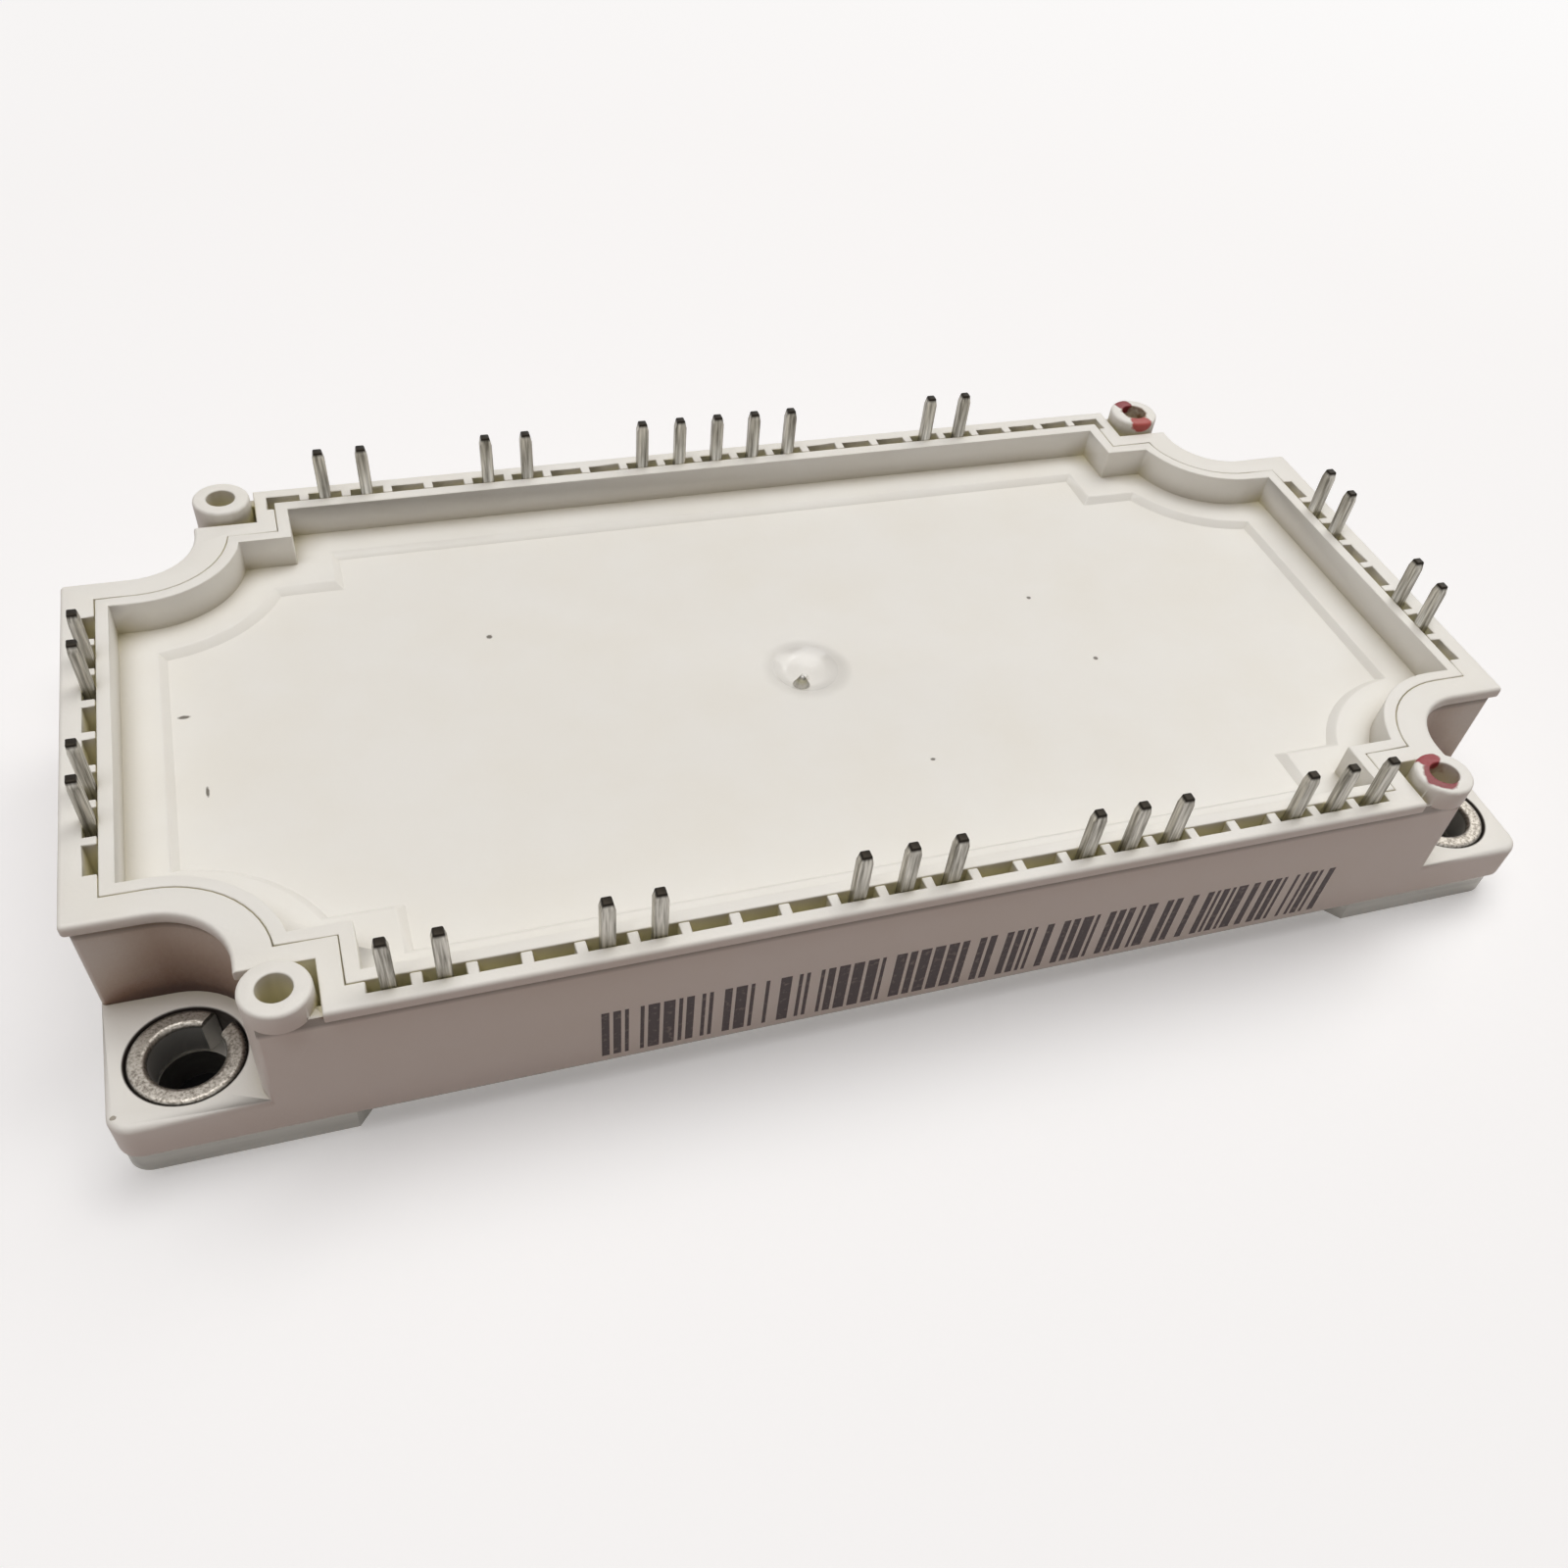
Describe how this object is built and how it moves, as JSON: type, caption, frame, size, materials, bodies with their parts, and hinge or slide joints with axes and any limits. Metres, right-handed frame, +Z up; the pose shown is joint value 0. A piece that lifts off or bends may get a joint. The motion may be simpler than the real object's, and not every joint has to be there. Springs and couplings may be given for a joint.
{
  "type": "power transistor module",
  "caption": "Flat moulded power transistor module on a metal baseplate, with a tray-shaped lid, pin terminals round its rim, notched corners and screw bosses.",
  "frame": {"origin": "middle of the module on its mounting plane, the underside of the baseplate", "axes": "+X along the long side, +Y across from the row of thirteen terminals to the row of eleven, +Z up out of the lid along the terminals"},
  "size_m": [0.122, 0.0624, 0.0205],
  "materials": {
    "housing": "white moulded polyester, fine matt skin",
    "plated_copper": "nickel-plated copper, dull",
    "sleeve_steel": "rolled steel strip, tumbled",
    "tinned_terminal": "tinned copper strip, dull",
    "sealant": "cured silicone adhesive",
    "silicone_gel": "clear soft silicone gel",
    "sensor_ceramic": "dark sintered ceramic",
    "substrate_ceramic": "white alumina",
    "copper": "bare copper",
    "solder_metal": "dull tin solder",
    "silicon": "metallised silicon chip",
    "wire_aluminium": "drawn aluminium wire"
  },
  "bodies": {
    "root": {"frame": "housing", "lid": "housing", "baseplate": "plated_copper", "adhesive_bead": "sealant", "gel": "silicone_gel", "temperature_sensor": "sensor_ceramic", "sleeve_front_left": "sleeve_steel", "sleeve_front_right": "sleeve_steel", "sleeve_back_left": "sleeve_steel", "sleeve_back_right": "sleeve_steel", "terminal_front_1": "tinned_terminal", "terminal_front_2": "tinned_terminal", "terminal_front_3": "tinned_terminal", "terminal_front_4": "tinned_terminal", "terminal_front_5": "tinned_terminal", "terminal_front_6": "tinned_terminal", "terminal_front_7": "tinned_terminal", "terminal_front_8": "tinned_terminal", "terminal_front_9": "tinned_terminal", "terminal_front_10": "tinned_terminal", "terminal_front_11": "tinned_terminal", "terminal_front_12": "tinned_terminal", "terminal_front_13": "tinned_terminal", "terminal_back_1": "tinned_terminal", "terminal_back_2": "tinned_terminal", "terminal_back_3": "tinned_terminal", "terminal_back_4": "tinned_terminal", "terminal_back_5": "tinned_terminal", "terminal_back_6": "tinned_terminal", "terminal_back_7": "tinned_terminal", "terminal_back_8": "tinned_terminal", "terminal_back_9": "tinned_terminal", "terminal_back_10": "tinned_terminal", "terminal_back_11": "tinned_terminal", "terminal_left_1": "tinned_terminal", "terminal_left_2": "tinned_terminal", "terminal_left_3": "tinned_terminal", "terminal_left_4": "tinned_terminal", "terminal_right_1": "tinned_terminal", "terminal_right_2": "tinned_terminal", "terminal_right_3": "tinned_terminal", "terminal_right_4": "tinned_terminal", "ceramic_1": "substrate_ceramic", "ceramic_2": "substrate_ceramic", "ceramic_3": "substrate_ceramic", "bottom_copper_1": "copper", "bottom_copper_2": "copper", "bottom_copper_3": "copper", "top_copper_1": "copper", "top_copper_2": "copper", "top_copper_3": "copper", "solder_1": "solder_metal", "solder_2": "solder_metal", "solder_3": "solder_metal", "transistor_chips": "silicon", "freewheel_diodes": "silicon", "rectifier_diodes": "silicon", "chip_wires": "wire_aluminium", "row_wires": "wire_aluminium", "end_wires": "wire_aluminium"}
  },
  "joints": []
}
